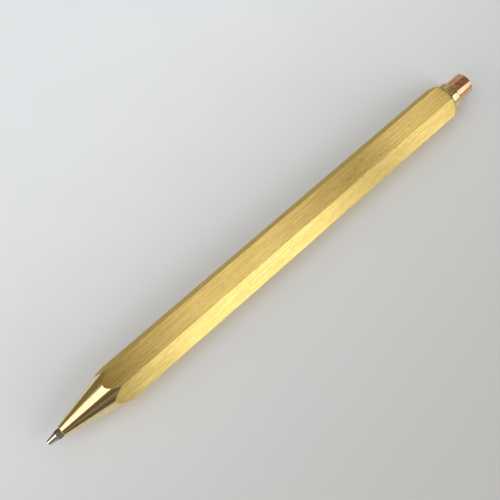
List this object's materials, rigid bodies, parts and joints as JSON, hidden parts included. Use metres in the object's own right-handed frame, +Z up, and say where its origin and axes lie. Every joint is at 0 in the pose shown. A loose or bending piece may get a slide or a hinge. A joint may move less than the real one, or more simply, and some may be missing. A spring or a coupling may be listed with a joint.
{
  "type": "retractable ballpoint pen",
  "caption": "Slim hexagonal retractable ballpoint pen: brushed body with a turned nose cone, round rear collar, push button, spring, rotating latch and a refill.",
  "frame": {"origin": "on the flat the pen lies on, under the pen's axis, halfway between the writing ball and the button's face", "axes": "+X along the pen from the writing tip to the button, +Y across it, +Z up from the flat it lies on"},
  "size_m": [0.1476, 0.0108, 0.0095],
  "materials": {
    "body_brass": "brushed along its length, polished on the turned nose cone",
    "collar_brass": "turned and polished",
    "ring_rubber": "matte",
    "guide_acetal": "moulded, natural white",
    "button_copper": "turned and polished copper",
    "plunger_acetal": "moulded, natural white",
    "rotor_acetal": "moulded, blue",
    "spring_steel": "drawn wire",
    "refill_nickel": "nickel plated steel",
    "tip_steel": "turned and polished steel",
    "ball_carbide": "ground tungsten carbide",
    "ink_paste": "dark blue paste",
    "plug_plastic": "moulded, white"
  },
  "bodies": {
    "barrel": {"barrel": "body_brass"},
    "ring": {"collar_ring": "ring_rubber"},
    "tail_unit": {"rear_collar": "collar_brass", "cam_guide": "guide_acetal"},
    "button": {"button_cap": "button_copper", "button_plunger": "plunger_acetal"},
    "refill": {"refill_shell": "refill_nickel", "tip_socket": "tip_steel", "ink_column": "ink_paste", "refill_end_plug": "plug_plastic", "return_spring": "spring_steel"},
    "rotor": {"rotor_cam": "rotor_acetal"},
    "ball": {"writing_ball": "ball_carbide"}
  },
  "joints": [
    {"name": "tail_back", "type": "slide", "parent": "barrel", "child": "ring", "axis": [1, 0, 0], "range_m": [0, 0.0045]},
    {"name": "tail_turn", "type": "hinge", "parent": "ring", "child": "tail_unit", "pos_m": [0.055, 0, 0.00476], "axis": [1, 0, 0], "range_deg": [0, 2160]},
    {"name": "button_slide", "type": "slide", "parent": "tail_unit", "child": "button", "axis": [1, 0, 0], "range_m": [-0.0004, 0.0056]},
    {"name": "refill_slide", "type": "slide", "parent": "ring", "child": "refill", "axis": [1, 0, 0], "range_m": [-0.0004, 0.0056], "deforming": ["return_spring"]},
    {"name": "rotor_turn", "type": "hinge", "parent": "refill", "child": "rotor", "pos_m": [0.032, 0, 0.00476], "axis": [1, 0, 0], "continuous": true},
    {"name": "ball_roll", "type": "hinge", "parent": "refill", "child": "ball", "pos_m": [-0.0733, 0, 0.00476], "axis": [0, 1, 0], "continuous": true}
  ],
  "couplings": [
    {"joint": "tail_turn", "follows": "tail_back", "rad_per_m": 8377.6},
    {"joint": "refill_slide", "follows": "button_slide", "ratio": 1}
  ]
}
